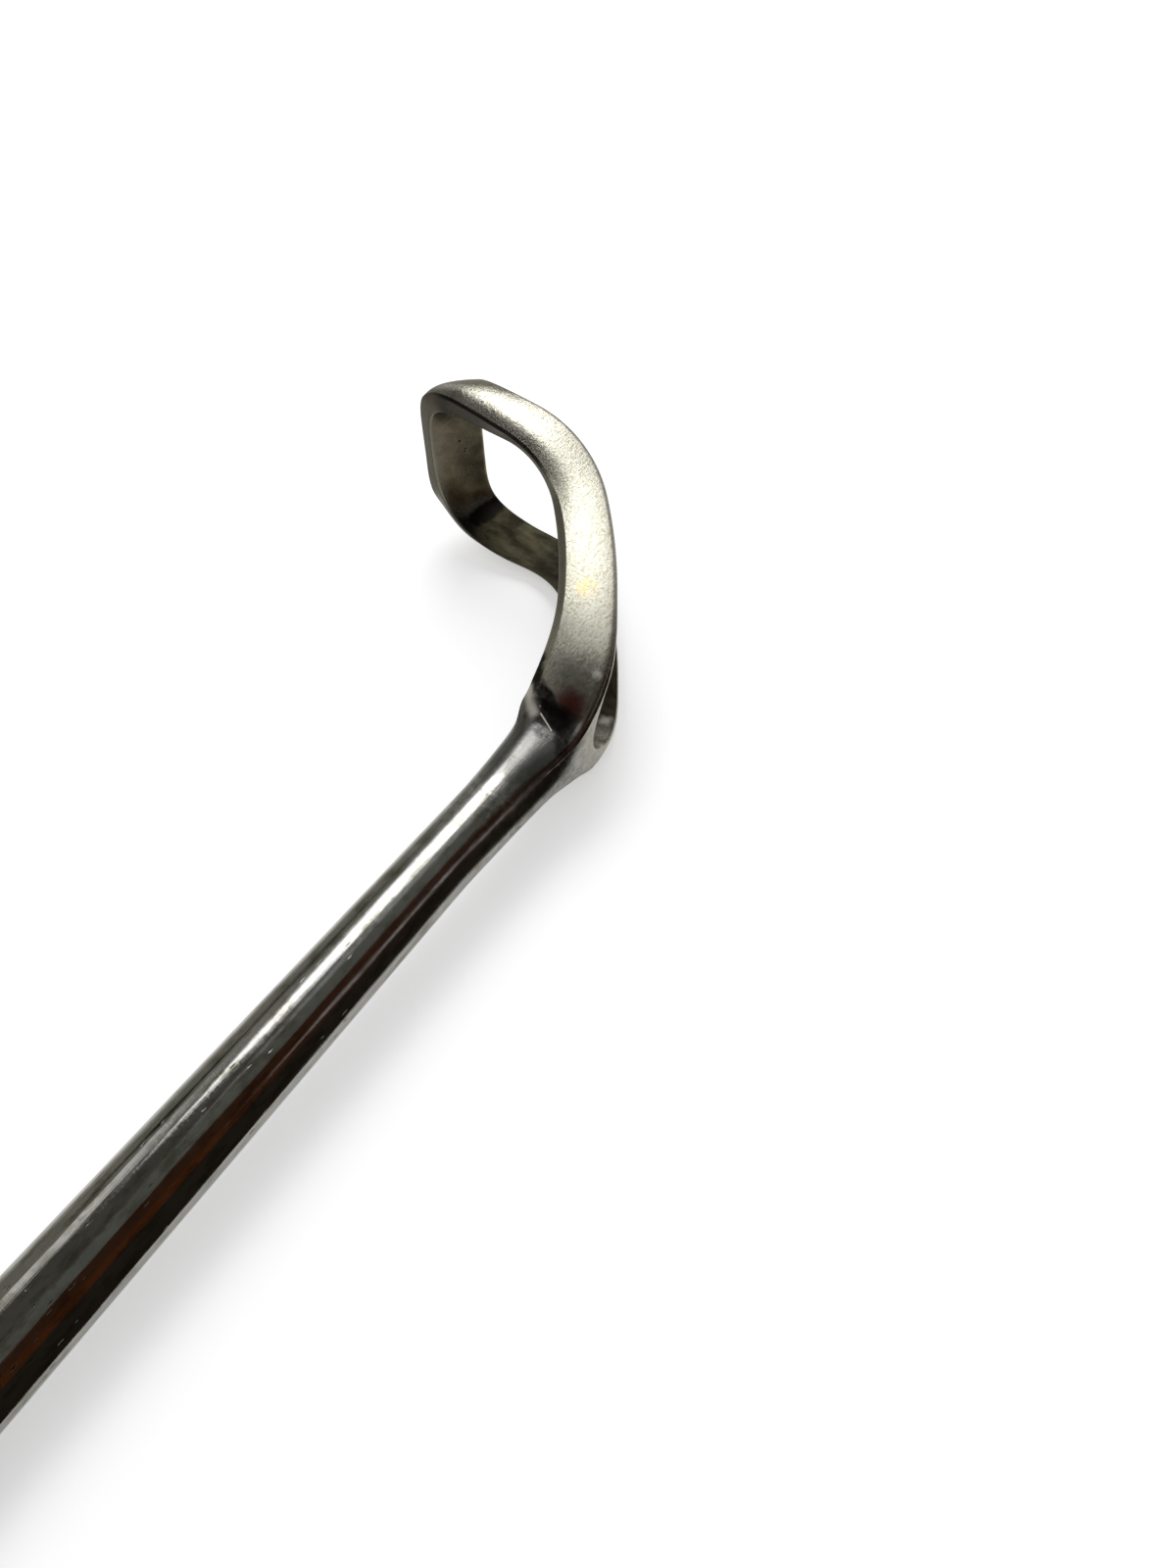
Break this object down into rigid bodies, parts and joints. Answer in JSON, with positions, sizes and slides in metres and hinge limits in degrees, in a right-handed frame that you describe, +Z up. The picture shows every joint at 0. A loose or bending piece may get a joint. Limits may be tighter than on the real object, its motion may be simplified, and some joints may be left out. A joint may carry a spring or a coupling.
{
  "type": "adenoid curette",
  "caption": "Steel surgical scraper: a plain oval handle, a slender round shaft and a bent open ring whose far bar is the blade.",
  "frame": {"origin": "on the table under the middle of the tool's bounding box, the tool lying on its side as it comes to rest", "axes": "+X along the tool from the handle's butt to the ring, +Y to the side that the ring hooks towards, +Z up"},
  "size_m": [0.2156, 0.0342, 0.0161],
  "materials": {
    "polished_steel": "satin to polished, with fine scratches"
  },
  "bodies": {
    "root": {"curette": "polished_steel"}
  },
  "joints": []
}
